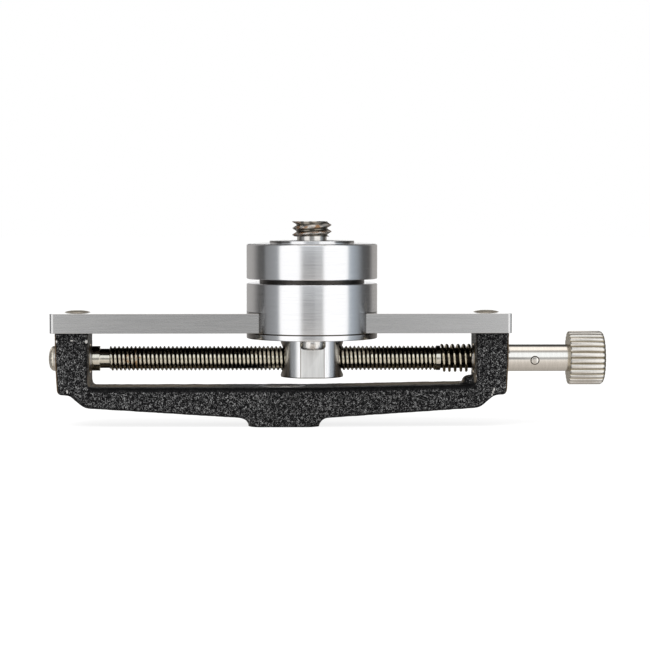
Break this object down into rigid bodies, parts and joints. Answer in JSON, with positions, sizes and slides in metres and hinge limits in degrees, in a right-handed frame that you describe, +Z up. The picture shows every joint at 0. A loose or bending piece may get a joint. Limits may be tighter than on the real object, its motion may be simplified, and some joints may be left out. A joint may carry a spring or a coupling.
{
  "type": "macro focusing rail",
  "caption": "Small rail whose knob turns a leadscrew to slide a carriage with a turning camera platform along a bar, on a cast frame with a tripod socket.",
  "frame": {"origin": "middle of the tripod socket's mouth, on the underside of the foot", "axes": "+X along the rail towards the knob, +Z up along the tripod socket and the camera stud's direction"},
  "size_m": [0.1345, 0.0318, 0.0494],
  "materials": {
    "crinkle_paint": "black crinkle paint",
    "brushed_bar": "brushed along its length",
    "turned_aluminium": "turned, fine rings",
    "bright_steel": "plain bright steel",
    "oiled_steel": "oily dark steel",
    "bearing_brass": "machined",
    "dark_ring": "dark friction material",
    "warm_plate": "warm nickel plate"
  },
  "bodies": {
    "frame": {"cast_frame": "crinkle_paint", "tripod_bush": "bright_steel", "guide_bar": "brushed_bar", "bar_screws": "bright_steel", "left_bush": "bearing_brass", "right_bush": "bearing_brass"},
    "carriage": {"carriage_body": "turned_aluminium", "carriage_plate": "turned_aluminium", "plate_screws": "bright_steel", "nut_post": "turned_aluminium", "nut_post_screws": "bright_steel", "friction_ring": "dark_ring"},
    "platform": {"platform_disc": "turned_aluminium", "camera_stud": "bright_steel", "stud_key": "bright_steel", "wave_washer": "bright_steel", "pivot_nut": "bright_steel"},
    "leadscrew": {"leadscrew": "oiled_steel", "thrust_washer": "bright_steel", "backlash_spring": "oiled_steel", "spring_washer": "bright_steel", "knob_sleeve": "warm_plate", "knob_pin": "bright_steel", "knob": "warm_plate", "end_washer": "bright_steel", "end_screw": "bright_steel"}
  },
  "joints": [
    {"name": "leadscrew_turn", "type": "hinge", "parent": "frame", "child": "leadscrew", "pos_m": [0, 0, 0.0162], "axis": [1, 0, 0], "range_deg": [-7776, 13104]},
    {"name": "carriage_slide", "type": "slide", "parent": "frame", "child": "carriage", "axis": [1, 0, 0], "range_m": [-0.0364, 0.0216]},
    {"name": "platform_turn", "type": "hinge", "parent": "carriage", "child": "platform", "pos_m": [0.0072, 0, 0.0345], "axis": [0, 0, 1], "continuous": true}
  ],
  "couplings": [
    {"joint": "leadscrew_turn", "follows": "carriage_slide", "rad_per_m": -6283.2}
  ]
}
